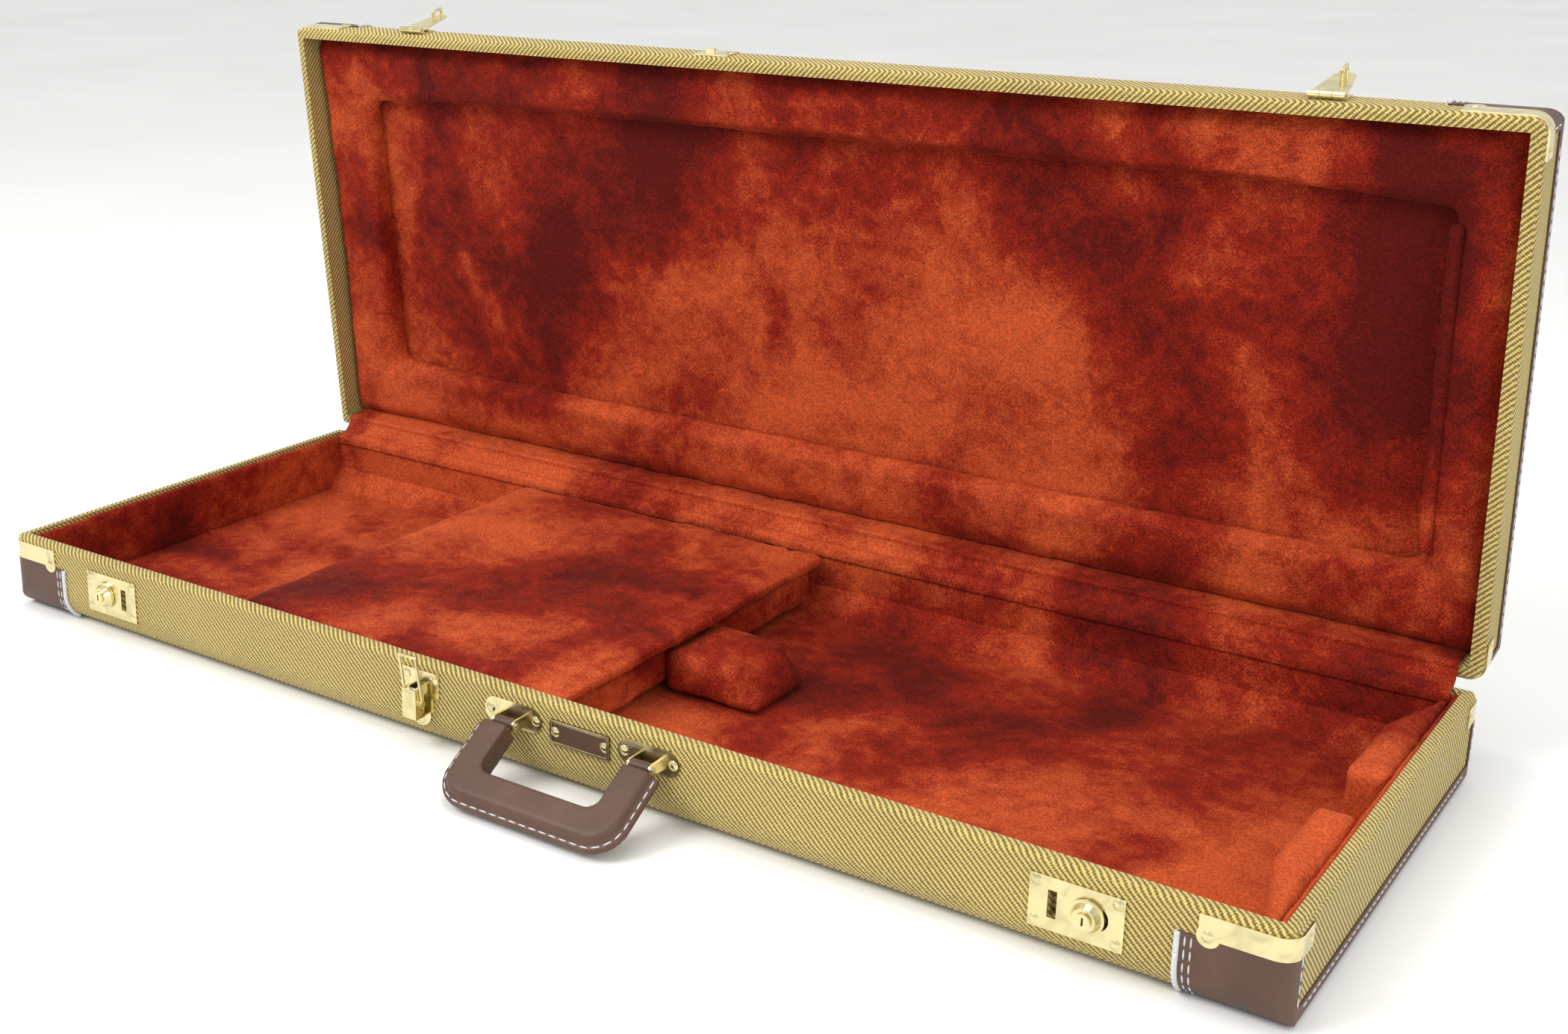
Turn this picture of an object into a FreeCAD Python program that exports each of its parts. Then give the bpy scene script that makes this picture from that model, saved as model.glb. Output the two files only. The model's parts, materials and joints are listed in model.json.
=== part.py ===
import FreeCAD, Part
import math
import os

V = FreeCAD.Vector
X, Y, Z = V(1, 0, 0), V(0, 1, 0), V(0, 0, 1)

# Frame: +X to the right end, -Y to the front wall with the handle, +Z up.
# The origin is the middle of the face that the base rests on. All sizes are in mm.

# overall sizes
case_length = 1040.0
case_width = 380.0
base_depth = 62.0
lid_depth = 46.0
lid_open_angle = 84.0

# shell
wall = 9.0
panel = 7.0
long_edge_radius = 24.0
end_edge_radius = 6.0
corner_radius = 11.0
rim_round = 5.0
rim_gap = 0.6

# leather end trim and brass corner clamps
trim_thickness = 1.2
trim_length = 62.0
trim_turn = 13.0
clamp_thickness = 1.1
clamp_height = 13.0
clamp_front_leg = 51.0
clamp_end_leg = 27.0
clamp_lobe_radius = 6.5
rivet_head_radius = 3.6
rivet_head_height = 1.3
rivet_shank_radius = 1.4
rivet_bite = 5.0

# lining
floor_pad = 4.0
lining = 5.0
lining_drop = 1.5
fit_gap = 0.5

# accessory compartment and its door
hinge_partition_x = -292.0
hinge_partition_thickness = 24.0
compartment_length = 271.0
compartment_height = 33.5
end_partition_thickness = 15.0
door_length = 307.0
door_thickness = 14.0
door_side_gap = 3.5
door_edge_radius = 4.0
door_board_thickness = 4.0
door_board_margin = 6.0

# padded blocks that hold the instrument
neck_block_length = 84.0
neck_block_width = 74.0
neck_block_height = 33.0
neck_block_taper = 25.0
neck_block_offset = -4.0
end_block_thickness = 27.0
end_block_reach = 150.0
end_block_gap = 54.0
end_block_taper = 22.0
end_block_taper_start = 70.0

# lid padding
lid_border_front = 56.0
lid_border_back = 60.0
lid_border_left = 58.0
lid_border_right = 40.0
lid_border_thickness = 24.0
lid_panel_pad = 6.0

# back hinges
hinge_count = 4
hinge_leaf_length = 46.0
hinge_leaf_height = 22.0
hinge_leaf_thickness = 1.6
hinge_pin_radius = 1.5
hinge_knuckle_radius = 3.0
hinge_end_inset = 95.0
running_clearance = 0.06

# locks
lock_x = 401.0
lock_z = 35.0
lock_width = 56.0
lock_height = 33.0
trim_gap = 0.2
clamp_rivet_rise = 1.5
clamp_rivet_inset = 5.0
lining_gap = 0.4
knuckle_gap = 0.3
leaf_stand_off = 0.5
button_dome_inset = 1.5
lever_pivot_wall = 2.2
lever_top = 3.0
loop_eye_wall = 1.3
loop_leg_start = 1.8
catch_rise = 3.0
hasp_rivet_rise = 10.5
hasp_rivet_reach = 8.0
grip_top_drop = 5.2
grip_window_radius = 9.0
grip_edge_round = 5.0
strap_side_gap = 0.4
strap_half_thickness = 1.5
lock_rivet_inset = 4.0
button_stand_off = 0.3
button_base = 2.0
plate_thickness = 1.2
lock_slot_inboard = 14.0
lock_slot_width = 5.4
lock_slot_height = 17.0
lock_pocket_depth = 8.0
lock_button_outboard = 7.0
lock_window_radius = 8.0
button_radius = 10.5
button_height = 6.0
button_neck_radius = 5.5
button_travel = 4.0
key_plug_radius = 4.6
key_plug_proud = 1.6
keyway_width = 1.2
keyway_height = 5.0

# hasps on the lid
hasp_x = lock_x - lock_slot_inboard
hasp_width = 24.0
hasp_plate_height = 19.0
hasp_leaf_length = 43.0
hasp_leaf_thickness = 1.2
hasp_knuckle_radius = 2.6
hasp_pin_radius = 1.1
hasp_open_angle = 172.0
hasp_tip_radius = 7.5
hasp_stand_off = 1.0
staple_wire = 2.6
staple_height = 13.0
staple_reach = 7.5

# draw latch
latch_x = -79.0
latch_plate_width = 33.0
latch_plate_top = 56.0
latch_plate_bottom = 15.0
latch_shoulder_z = 38.0
latch_waist_inset = 5.0
latch_foot_radius = 9.0
latch_rivet_z = 51.0
latch_rivet_reach = 12.0
latch_foot_rivet_rise = 4.5
latch_ear_radius = 3.5
latch_pivot_z = 43.0
latch_pivot_out = 7.0
latch_pin_radius = 1.2
latch_ear_thickness = 1.4
lever_width = 12.4
lever_tail = 19.0
lever_skin = 1.3
lever_skin_out = 6.5
lever_side_gap = 0.35
loop_pin_drop = 8.0
loop_pin_out = 1.2
loop_wire_radius = 1.1
loop_width = 14.8
loop_pin_end = 0.4
loop_height = 36.0
loop_lean = 9.0
catch_width = 30.0
catch_height = 18.0
catch_hook_width = 7.0
catch_hook_out = 4.4
catch_hook_height = 4.0
catch_rivet_reach = 11.0

# handle
handle_x = 58.0
handle_spacing = 110.0
handle_pivot_z = 42.0
handle_pivot_out = 9.0
handle_pin_radius = 2.0
handle_drop_angle = 58.0
handle_width = 146.0
handle_leg_width = 26.0
handle_reach = 68.0
handle_grip_depth = 26.0
handle_thickness = 17.0
handle_flange = 4.5
handle_flange_thickness = 5.0
handle_corner_radius = 24.0
bracket_width = 48.0
bracket_height = 18.0
bracket_ear_thickness = 1.6
bracket_ear_gap = 15.0
bracket_z = 45.0
bracket_rivet_reach = 19.0
handle_eye_radius = 4.0

# nameplate, left blank
nameplate_width = 48.0
nameplate_height = 17.0
nameplate_z = 42.0
nameplate_rivet_reach = 20.0

# places worked out from the sizes above
half_length = case_length / 2
half_width = case_width / 2
floor_top = panel + floor_pad
rim_top = base_depth
hinge_y = half_width + hinge_knuckle_radius + 0.5
hinge_z = base_depth + rim_gap / 2
lid_top = base_depth + rim_gap + lid_depth
front = -half_width
door_hinge_x = hinge_partition_x + hinge_partition_thickness - 8.0
partition_top = floor_top + compartment_height
door_hinge_z = partition_top + fit_gap
compartment_start = hinge_partition_x + hinge_partition_thickness
compartment_end = compartment_start + compartment_length
body_start = compartment_end + end_partition_thickness
inner_y = half_width - wall - lining
inner_x = half_length - wall - lining


def box(x0, x1, y0, y1, z0, z1):
    return Part.makeBox(x1 - x0, y1 - y0, z1 - z0, V(x0, y0, z0))


def rod(radius, start, direction, length):
    return Part.makeCylinder(radius, length, start, direction)


def face_of(edges):
    return Part.Face(Part.Wire(edges))


def line(a, b):
    return Part.makeLine(a, b)


def corner_arc(centre, radius, u, w, degrees):
    """A quarter circle in the plane of u and w that starts at the angle given."""
    points = []
    for turn in (degrees, degrees + 45, degrees + 90):
        a = math.radians(turn)
        points.append(centre + u * (radius * math.cos(a)) + w * (radius * math.sin(a)))
    return Part.Arc(*points).toShape(), points[0], points[2]


def rounded_rectangle(half_u, low, high, u, w, low_radius, high_radius):
    """A rectangle in the plane of u and w, centred on u, with arcs at its corners."""
    corners = (
        (half_u - high_radius, high - high_radius, high_radius, 0),
        (-half_u + high_radius, high - high_radius, high_radius, 90),
        (-half_u + low_radius, low + low_radius, low_radius, 180),
        (half_u - low_radius, low + low_radius, low_radius, 270),
    )
    arcs = [corner_arc(u * cu + w * cw, r, u, w, turn) for cu, cw, r, turn in corners]
    edges = []
    for arc, following in zip(arcs, arcs[1:] + arcs[:1]):
        edges += [arc[0], line(arc[2], following[1])]
    return face_of(edges)


def case_form(grow, depth):
    """The outside of a closed half-case, mouth up, its back at z = -grow."""
    length, width = case_length + 2 * grow, case_width + 2 * grow
    across = rounded_rectangle(
        width / 2, -grow, depth, Y, Z, long_edge_radius + grow, rim_round
    )
    across.translate(V(-length / 2, 0, 0))
    along = rounded_rectangle(
        length / 2, -grow, depth, X, Z, end_edge_radius + grow, rim_round
    )
    along.translate(V(0, -width / 2, 0))
    plan = rounded_rectangle(
        length / 2, -width / 2, width / 2, X, Y, corner_radius + grow, corner_radius + grow
    )
    plan.translate(V(0, 0, -grow))
    form = across.extrude(X * length).common(along.extrude(Y * width))
    return form.common(plan.extrude(Z * (depth + grow)))


def shell_pieces(depth):
    """The five boards of a half-case, mouth up, its back at z = 0."""
    hollow = rounded_rectangle(
        half_width - wall, panel, depth + long_edge_radius, Y, Z,
        long_edge_radius - wall, rim_round,
    )
    hollow.translate(V(-half_length + wall, 0, 0))
    shell = case_form(0, depth).cut(hollow.extrude(X * (case_length - 2 * wall)))
    x_in, y_in = half_length - wall, half_width - long_edge_radius
    far = case_length
    return {
        "panel": shell.common(box(-x_in, x_in, -y_in, y_in, 0, panel)),
        "front_wall": shell.common(box(-x_in, x_in, -far, -y_in, 0, depth)),
        "back_wall": shell.common(box(-x_in, x_in, y_in, far, 0, depth)),
        "left_end": shell.common(box(-far, -x_in, -far, far, 0, depth)),
        "right_end": shell.common(box(x_in, far, -far, far, 0, depth)),
    }


def end_trim(side, depth, low):
    """Leather round one end of a half-case from the height `low` up to the clamps.

    It is open in the middle of the end face.
    """
    top = depth - rim_round - clamp_height - trim_gap
    trim = case_form(trim_thickness, depth).cut(case_form(0, depth))
    far = case_length
    keep = box(half_length - trim_length, far, -far, far, low, top)
    window = box(
        half_length - end_edge_radius, far, -half_width + trim_turn,
        half_width - trim_turn, trim_turn, far,
    )
    trim = trim.common(keep).cut(window).cut(Part.makeCompound(clamp_lobes(depth)))
    return trim if side > 0 else trim.mirror(V(0, 0, 0), X)


def clamp_rivet_places(depth):
    """(place, outward direction) of each rivet through the corner clamps."""
    z = depth - rim_round - clamp_height + clamp_rivet_rise
    x, y = half_length - clamp_front_leg + clamp_lobe_radius - 1, half_width
    reach = half_width - clamp_end_leg + clamp_rivet_inset
    places = []
    for sx in (-1, 1):
        for sy in (-1, 1):
            places.append((V(sx * x, sy * y, z), Y * sy))
            places.append((V(sx * half_length, sy * reach, z + clamp_rivet_inset), X * sx))
    return places


def clamp_lobes(depth):
    """The round lobes for the rivets on the long sides, left to right and front to back."""
    return [
        rod(clamp_lobe_radius, place, out, trim_thickness)
        for place, out in clamp_rivet_places(depth) if out.x == 0
    ]


def corner_clamps(depth):
    """Four brass straps round the rim corners, each with a lobe for its rivet."""
    band = case_form(clamp_thickness, depth).cut(case_form(0, depth))
    low, high = depth - rim_round - clamp_height, depth - rim_round + 1
    lobes = clamp_lobes(depth)
    clamps = []
    for sx in (-1, 1):
        for sy in (-1, 1):
            xs = sorted((sx * (half_length - clamp_front_leg), sx * case_length))
            ys = sorted((sy * (half_width - clamp_end_leg), sy * case_width))
            strap = band.common(box(*xs, *ys, low, high))
            lobe = lobes.pop(0).common(case_form(clamp_thickness, depth))
            clamps.append(strap.fuse(lobe).removeSplitter())
    holes = rivet_shanks(clamp_rivet_places(depth))
    return Part.makeCompound([c.cut(holes) for c in clamps])


def rivet_shanks(places):
    """Holes for rivets, through the metal and into the board behind it."""
    shanks = [
        rod(rivet_shank_radius, p - n * rivet_bite, n, rivet_bite + 2 * plate_thickness)
        for p, n in places
    ]
    return Part.makeCompound(shanks)


def rivets(places, stand):
    """Domed rivets whose heads sit on metal that is `stand` thick."""
    made = []
    ball = (rivet_head_radius**2 + rivet_head_height**2) / (2 * rivet_head_height)
    for p, n in places:
        seat = p + n * stand
        dome = Part.makeSphere(ball, seat - n * (ball - rivet_head_height))
        dome = dome.common(rod(rivet_head_radius + 1, seat, n, rivet_head_height + 1))
        shank = rod(rivet_shank_radius, p - n * rivet_bite, n, rivet_bite + stand)
        made.append(dome.fuse(shank))
    return Part.makeCompound(made)


def close_lid(shape):
    """Turn a half-case piece mouth down over the base."""
    shape = shape.copy()
    shape.rotate(V(0, 0, 0), X, 180)
    shape.translate(V(0, 0, lid_top))
    return shape


def open_lid(shape):
    """Swing a piece of the closed lid to where the lid stands open."""
    shape = shape.copy()
    shape.rotate(V(0, hinge_y, hinge_z), X, -lid_open_angle)
    return shape


def open_hasp(shape):
    """Swing a closed hasp up off the lock, then open the lid."""
    shape = shape.copy()
    shape.rotate(V(0, hasp_pin_y, hasp_pin_z), X, -hasp_open_angle)
    return open_lid(shape)


hasp_pin_y = front - hasp_stand_off - hasp_knuckle_radius
hasp_pin_z = base_depth + rim_gap + rim_round + hasp_knuckle_radius + 0.5


# ---- lining and padding of the base ----

def floor_lining():
    return box(
        -half_length + wall, half_length - wall, -half_width + long_edge_radius,
        half_width - long_edge_radius, floor_top - floor_pad, floor_top,
    )


def wall_linings():
    """Padded plush boards inside the four walls of the base."""
    low, high = long_edge_radius, rim_top - lining_drop
    x_out, y_out = half_length - wall, half_width - wall
    return {
        "base_front_lining": box(-x_out, x_out, -y_out, -inner_y, low, high),
        "base_back_lining": box(-x_out, x_out, inner_y, y_out, low, high),
        "base_left_lining": box(-x_out, -inner_x, -inner_y, inner_y, floor_top, high),
        "base_right_lining": box(inner_x, x_out, -inner_y, inner_y, floor_top, high),
    }


def partition(x0, x1):
    """A padded cross wall that stands on the floor lining."""
    y = half_width - long_edge_radius
    foot = box(x0, x1, -y, y, floor_top, partition_top)
    head = box(x0, x1, -inner_y, inner_y, long_edge_radius, partition_top)
    return foot.fuse(head).removeSplitter()


def neck_block():
    """A tapered block that the neck heel rests on, against the compartment's end."""
    x0, y0 = body_start + fit_gap, neck_block_offset - neck_block_width / 2
    x1, z0, z1 = x0 + neck_block_length, floor_top, floor_top + neck_block_height
    points = [V(x0, y0, z0), V(x1, y0, z0), V(x1 - neck_block_taper, y0, z1), V(x0, y0, z1)]
    return face_of([line(a, b) for a, b in zip(points, points[1:] + points[:1])]).extrude(
        Y * neck_block_width
    )


def end_block(side):
    """A pad against the right end whose face slants away towards the corner."""
    x1 = inner_x
    x0 = x1 - end_block_thickness
    near, far = end_block_gap / 2, min(end_block_gap / 2 + end_block_reach, inner_y)
    bend = far - end_block_taper_start
    plan = [
        V(x0, near, floor_top), V(x1, near, floor_top), V(x1, far, floor_top),
        V(x0 + end_block_taper, far, floor_top), V(x0, bend, floor_top),
    ]
    block = face_of([line(a, b) for a, b in zip(plan, plan[1:] + plan[:1])]).extrude(
        Z * (rim_top - lining_drop - floor_top)
    )
    y_low = half_width - long_edge_radius
    below = box(x0, x1, y_low, half_width, floor_top, long_edge_radius)
    block = block.cut(below)
    return block if side > 0 else block.mirror(V(0, 0, 0), Y)


# ---- compartment door ----

def compartment_door():
    """The padded door, shut over the compartment, hollow where its board sits."""
    half = inner_y - door_side_gap
    door = box(
        door_hinge_x, door_hinge_x + door_length, -half, half,
        door_hinge_z, door_hinge_z + door_thickness,
    )
    door = door.makeFillet(door_edge_radius, [e for e in door.Edges if free_door_edge(e)])
    return door.cut(door_board())


def door_board():
    """The stiff board sealed inside the padding."""
    half = inner_y - door_side_gap - door_board_margin
    low = door_hinge_z + (door_thickness - door_board_thickness) / 2
    return box(
        door_hinge_x + door_board_margin, door_hinge_x + door_length - door_board_margin,
        -half, half, low, low + door_board_thickness,
    )


def free_door_edge(edge):
    """True for the two long edges away from the hinge."""
    return edge.BoundBox.XMin > door_hinge_x + door_length - 1 and edge.BoundBox.YLength > 1


# ---- lid padding, made in the closed position ----

def lid_pads():
    """Raised border pads round a recessed centre panel, under the lid's top board."""
    top = lid_top - panel
    low = top - lid_border_thickness
    x_out, y_out = half_length - wall - lining_gap, half_width - wall - lining_gap
    x0, x1 = -half_length + wall + lid_border_left, half_length - wall - lid_border_right
    y0, y1 = -half_width + wall + lid_border_front, half_width - wall - lid_border_back
    arch = rounded_rectangle(
        y_out, low - long_edge_radius, top, Y, Z, rim_round, long_edge_radius - wall
    )
    arch.translate(V(-x_out, 0, 0))
    arch = arch.extrude(X * 2 * x_out)
    places = {
        "lid_front_border": (-x_out, x_out, -y_out, y0, low, top),
        "lid_back_border": (-x_out, x_out, y1, y_out, low, top),
        "lid_left_border": (-x_out, x0, y0, y1, low, top),
        "lid_right_border": (x1, x_out, y0, y1, low, top),
        "lid_centre_pad": (x0, x1, y0, y1, top - lid_panel_pad, top),
    }
    return {name: arch.common(box(*place)) for name, place in places.items()}


# ---- back hinges ----

def hinge_stations():
    first = -half_length + hinge_end_inset
    step = (case_length - 2 * hinge_end_inset) / (hinge_count - 1)
    return [first + step * i for i in range(hinge_count)]


def knuckles(x, count, odd, radius, length, pin_radius, y, z):
    """Every second knuckle of a hinge centred at x."""
    step = length / count
    made = []
    for i in range(count):
        if i % 2 == odd:
            start = V(x - length / 2 + i * step + knuckle_gap / 2, y, z)
            tube = rod(radius, start, X, step - knuckle_gap)
            made.append(tube.cut(rod(pin_radius + running_clearance, start, X, step)))
    return made


def hinge_leaves(on_lid):
    """Leaves screwed to the back walls, each with its own knuckles."""
    made = []
    up = 1 if on_lid else -1
    z0, z1 = sorted((hinge_z + up * (rim_round + 1), hinge_z + up * hinge_leaf_height))
    neck0, neck1 = sorted((hinge_z, hinge_z + up * (rim_round + 2)))
    for x in hinge_stations():
        half = hinge_leaf_length / 2
        leaf = box(x - half, x + half, half_width, half_width + hinge_leaf_thickness, z0, z1)
        for knuckle in knuckles(
            x, 5, 1 if on_lid else 0, hinge_knuckle_radius, hinge_leaf_length,
            hinge_pin_radius, hinge_y, hinge_z,
        ):
            k = knuckle.BoundBox
            neck = box(
                k.XMin, k.XMax, half_width + leaf_stand_off,
                half_width + leaf_stand_off + hinge_leaf_thickness,
                neck0, neck1,
            ).cut(rod(hinge_knuckle_radius - 0.2, V(k.XMin, hinge_y, hinge_z), X, k.XLength))
            leaf = leaf.fuse(neck).fuse(knuckle)
        made.append(leaf.removeSplitter())
    return Part.makeCompound(made)


def hinge_pins():
    length = hinge_leaf_length + 1.5
    return Part.makeCompound(
        [
            rod(hinge_pin_radius, V(x - length / 2, hinge_y, hinge_z), X, length)
            for x in hinge_stations()
        ]
    )


# ---- locks ----

def lock_places(side):
    """x of the slot and x of the button for the lock on one side."""
    return side * (lock_x - lock_slot_inboard), side * (lock_x + lock_button_outboard)


def lock_rivet_places():
    places = []
    for side in (-1, 1):
        for dx in (-1, 1):
            for dz in (-1, 1):
                x = side * lock_x + dx * (lock_width / 2 - lock_rivet_inset)
                z = lock_z + dz * (lock_height / 2 - lock_rivet_inset)
                places.append((V(x, front, z), -Y))
    return places


def lock_openings(side, depth):
    """The staple slot and the button's window, cut to a depth behind the plate."""
    slot_x, button_x = lock_places(side)
    y0, y1 = front - plate_thickness - 1, front + depth
    slot = box(
        slot_x - lock_slot_width / 2, slot_x + lock_slot_width / 2, y0, y1,
        lock_z - lock_slot_height / 2, lock_z + lock_slot_height / 2,
    )
    window = rod(lock_window_radius, V(button_x, y0, lock_z), Y, y1 - y0)
    slide = rod(lock_window_radius, V(button_x + side * button_travel, y0, lock_z), Y, y1 - y0)
    half = lock_window_radius
    xs = sorted((button_x, button_x + side * button_travel))
    between = box(*xs, y0, y1, lock_z - half, lock_z + half)
    return slot.fuse(window).fuse(slide).fuse(between)


def lock_plate(side):
    x = side * lock_x
    plate = box(
        x - lock_width / 2, x + lock_width / 2, front - plate_thickness, front,
        lock_z - lock_height / 2, lock_z + lock_height / 2,
    )
    return plate.cut(lock_openings(side, 1)).cut(rivet_shanks(lock_rivet_places()))


def lock_button(side):
    """A domed sliding button with a neck behind the plate and a bore for the key plug."""
    _, x = lock_places(side)
    y = front - plate_thickness - button_stand_off
    base = rod(button_radius, V(x, y, lock_z), -Y, button_base)
    dome = Part.makeCone(button_radius - button_dome_inset, key_plug_radius + 2.4,
                         button_height - button_base, V(x, y - button_base, lock_z), -Y)
    neck = rod(button_neck_radius, V(x, y, lock_z), Y, lock_pocket_depth - 2)
    bore = rod(key_plug_radius + running_clearance, V(x, y - button_height - 1, lock_z), Y,
               button_height + 1 + running_clearance)
    return base.fuse(dome).fuse(neck).cut(bore).removeSplitter()


def key_plug(side):
    _, x = lock_places(side)
    y = front - plate_thickness - button_stand_off - button_height
    plug = rod(key_plug_radius, V(x, y - key_plug_proud, lock_z), Y,
               button_height + key_plug_proud)
    half = keyway_width / 2
    keyway = box(x - half, x + half, y - key_plug_proud - 1, y + 4, lock_z - keyway_height / 2,
                 lock_z + keyway_height / 2)
    return plug.cut(keyway)


# ---- hasps, made in the closed position ----

def hasp_stations():
    return (-hasp_x, hasp_x)


def hasp_rivet_places():
    places = []
    for x in hasp_stations():
        for dx in (-1, 1):
            places.append((V(x + dx * hasp_rivet_reach, front, hasp_pin_z + hasp_rivet_rise), -Y))
    return places


def hasp_plates():
    """Plates riveted to the lid, with the outer knuckles."""
    made = []
    for x in hasp_stations():
        half = hasp_width / 2
        z0 = hasp_pin_z + hasp_knuckle_radius
        plate = box(x - half, x + half, front - plate_thickness, front, z0 - 0.5,
                    hasp_pin_z + hasp_plate_height - 3)
        for knuckle in knuckles(
            x, 3, 0, hasp_knuckle_radius, hasp_width, hasp_pin_radius, hasp_pin_y, hasp_pin_z
        ):
            k = knuckle.BoundBox
            web = box(k.XMin, k.XMax, hasp_pin_y, front, hasp_pin_z + 1.4, z0 + 0.2)
            web = web.cut(rod(hasp_pin_radius + running_clearance,
                              V(k.XMin, hasp_pin_y, hasp_pin_z), X, k.XLength))
            plate = plate.fuse(web).fuse(knuckle)
        made.append(plate.cut(rivet_shanks(hasp_rivet_places())).removeSplitter())
    return Part.makeCompound(made)


def hasp_pins():
    return Part.makeCompound(
        [
            rod(hasp_pin_radius, V(x - hasp_width / 2, hasp_pin_y, hasp_pin_z), X, hasp_width)
            for x in hasp_stations()
        ]
    )


def hasp(side):
    """The hinged leaf with its staple, which drops into the lock's slot."""
    x = side * hasp_x
    half = hasp_width / 2
    y1 = hasp_pin_y - 0.1
    y0 = y1 - hasp_leaf_thickness
    low = hasp_pin_z - hasp_leaf_length
    r, top = hasp_tip_radius, hasp_pin_z - hasp_knuckle_radius - 0.6
    corners = [
        V(x - half, y0, top), V(x + half, y0, top),
        V(x + r, y0, low + r), V(x - r, y0, low + r),
    ]
    leaf = face_of([line(a, b) for a, b in zip(corners, corners[1:] + corners[:1])])
    leaf = leaf.extrude(Y * hasp_leaf_thickness)
    tip = rod(r, V(x, y0, low + r), Y, hasp_leaf_thickness)
    tongue = box(x - half / 3 + 0.3, x + half / 3 - 0.3, y0, y1,
                 hasp_pin_z - hasp_knuckle_radius - 1, hasp_pin_z)
    for knuckle in knuckles(
        x, 3, 1, hasp_knuckle_radius, hasp_width, hasp_pin_radius, hasp_pin_y, hasp_pin_z
    ):
        leaf = leaf.fuse(knuckle)
    bore = rod(hasp_pin_radius + running_clearance, V(x - half, hasp_pin_y, hasp_pin_z), X,
               hasp_width)
    return leaf.fuse(tip).fuse(tongue).cut(bore).fuse(staple(x, y1)).removeSplitter()


def staple(x, y):
    """A bent wire loop that stands up from the back of the hasp."""
    r = staple_wire / 2
    z0, z1 = lock_z - staple_height / 2 + r, lock_z + staple_height / 2 - r
    legs = [rod(r, V(x, y - 0.3, z), Y, staple_reach - r) for z in (z0, z1)]
    balls = [Part.makeSphere(r, V(x, y - 0.3 + staple_reach - r, z)) for z in (z0, z1)]
    bridge = rod(r, V(x, y - 0.3 + staple_reach - r, z0), Z, z1 - z0)
    return legs[0].fuse([legs[1], bridge] + balls)


# ---- draw latch ----

latch_pivot_y = front - latch_pivot_out
loop_pin_z = latch_pivot_z - loop_pin_drop
loop_pin_y = latch_pivot_y - loop_pin_out


def latch_rivet_places():
    return [
        (V(latch_x - latch_rivet_reach, front, latch_rivet_z), -Y),
        (V(latch_x + latch_rivet_reach, front, latch_rivet_z), -Y),
        (V(latch_x, front, latch_plate_bottom + latch_foot_rivet_rise), -Y),
    ]


def latch_plate():
    """The fixed plate with a round foot and the two ears that hold the lever."""
    half = latch_plate_width / 2
    foot_z = latch_plate_bottom + latch_foot_radius
    foot = rod(latch_foot_radius, V(latch_x, front, foot_z), -Y, plate_thickness)
    top = box(latch_x - half, latch_x + half, front - plate_thickness, front,
              latch_shoulder_z, latch_plate_top)
    waist = half - latch_waist_inset
    middle = box(latch_x - waist, latch_x + waist, front - plate_thickness, front,
                 foot_z + 3, latch_shoulder_z + 1)
    plate = foot.fuse(top).fuse(middle)
    for side in (-1, 1):
        x = latch_x + side * (lever_width / 2 - lever_skin - lever_side_gap)
        x0, x1 = sorted((x, x - side * latch_ear_thickness))
        ear = box(x0, x1, latch_pivot_y, front, latch_pivot_z - latch_ear_radius,
                  latch_pivot_z + latch_ear_radius)
        knob = rod(latch_ear_radius, V(x0, latch_pivot_y, latch_pivot_z), X, latch_ear_thickness)
        plate = plate.fuse(ear).fuse(knob)
    hole = rod(latch_pin_radius, V(latch_x - lever_width, latch_pivot_y, latch_pivot_z), X,
               2 * lever_width)
    return plate.cut(hole).cut(rivet_shanks(latch_rivet_places())).removeSplitter()


def latch_pin():
    start = V(latch_x - lever_width / 2, latch_pivot_y, latch_pivot_z)
    return rod(latch_pin_radius, start, X, lever_width)


def latch_lever():
    """A folded cover that pivots at its top and carries the loop's pin."""
    half = lever_width / 2
    y0, y1 = latch_pivot_y - lever_skin_out, front - plate_thickness - 0.6
    z0, z1 = latch_pivot_z - lever_tail, latch_pivot_z + lever_top
    skin = box(latch_x - half, latch_x + half, y0, y0 + lever_skin, z0, z1)
    lip = box(latch_x - half, latch_x + half, y0, y1, z0, z0 + lever_skin)
    cheeks = []
    for side in (-1, 1):
        x = latch_x + side * half
        x0, x1 = sorted((x, x - side * lever_skin))
        cheeks.append(box(x0, x1, y0, latch_pivot_y + lever_pivot_wall, z0, z1))
    reach = loop_width / 2 + loop_wire_radius + loop_pin_end
    pin = rod(loop_wire_radius, V(latch_x - reach, loop_pin_y, loop_pin_z), X, 2 * reach)
    hole = rod(latch_pin_radius + running_clearance,
               V(latch_x - half - 1, latch_pivot_y, latch_pivot_z), X, lever_width + 2)
    lever = skin.fuse([lip] + cheeks)
    return lever.fuse(pin).cut(hole).removeSplitter()


def latch_loop():
    """A wire bail with a round eye on the lever's pin, leaning a little outwards."""
    half = loop_width / 2
    r = loop_wire_radius
    eye_outer = r + running_clearance + loop_eye_wall
    made = []
    for side in (-1, 1):
        x = latch_x + side * half
        eye = rod(eye_outer, V(x - r, loop_pin_y, loop_pin_z), X, 2 * r)
        leg = rod(r, V(x, loop_pin_y, loop_pin_z + loop_leg_start), Z,
                  loop_height - loop_leg_start)
        made += [eye, leg, Part.makeSphere(r, V(x, loop_pin_y, loop_pin_z + loop_height))]
    bar = rod(r, V(latch_x - half, loop_pin_y, loop_pin_z + loop_height), X, loop_width)
    loop = bar.fuse(made)
    loop = loop.cut(rod(r + running_clearance, V(latch_x - lever_width, loop_pin_y, loop_pin_z),
                        X, 2 * lever_width))
    loop.rotate(V(latch_x, loop_pin_y, loop_pin_z), X, loop_lean)
    return loop.removeSplitter()


def catch_rivet_places():
    z = base_depth + rim_gap + rim_round + catch_height / 2 + catch_rise
    return [(V(latch_x + dx, front, z), -Y) for dx in (-catch_rivet_reach, catch_rivet_reach)]


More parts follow.
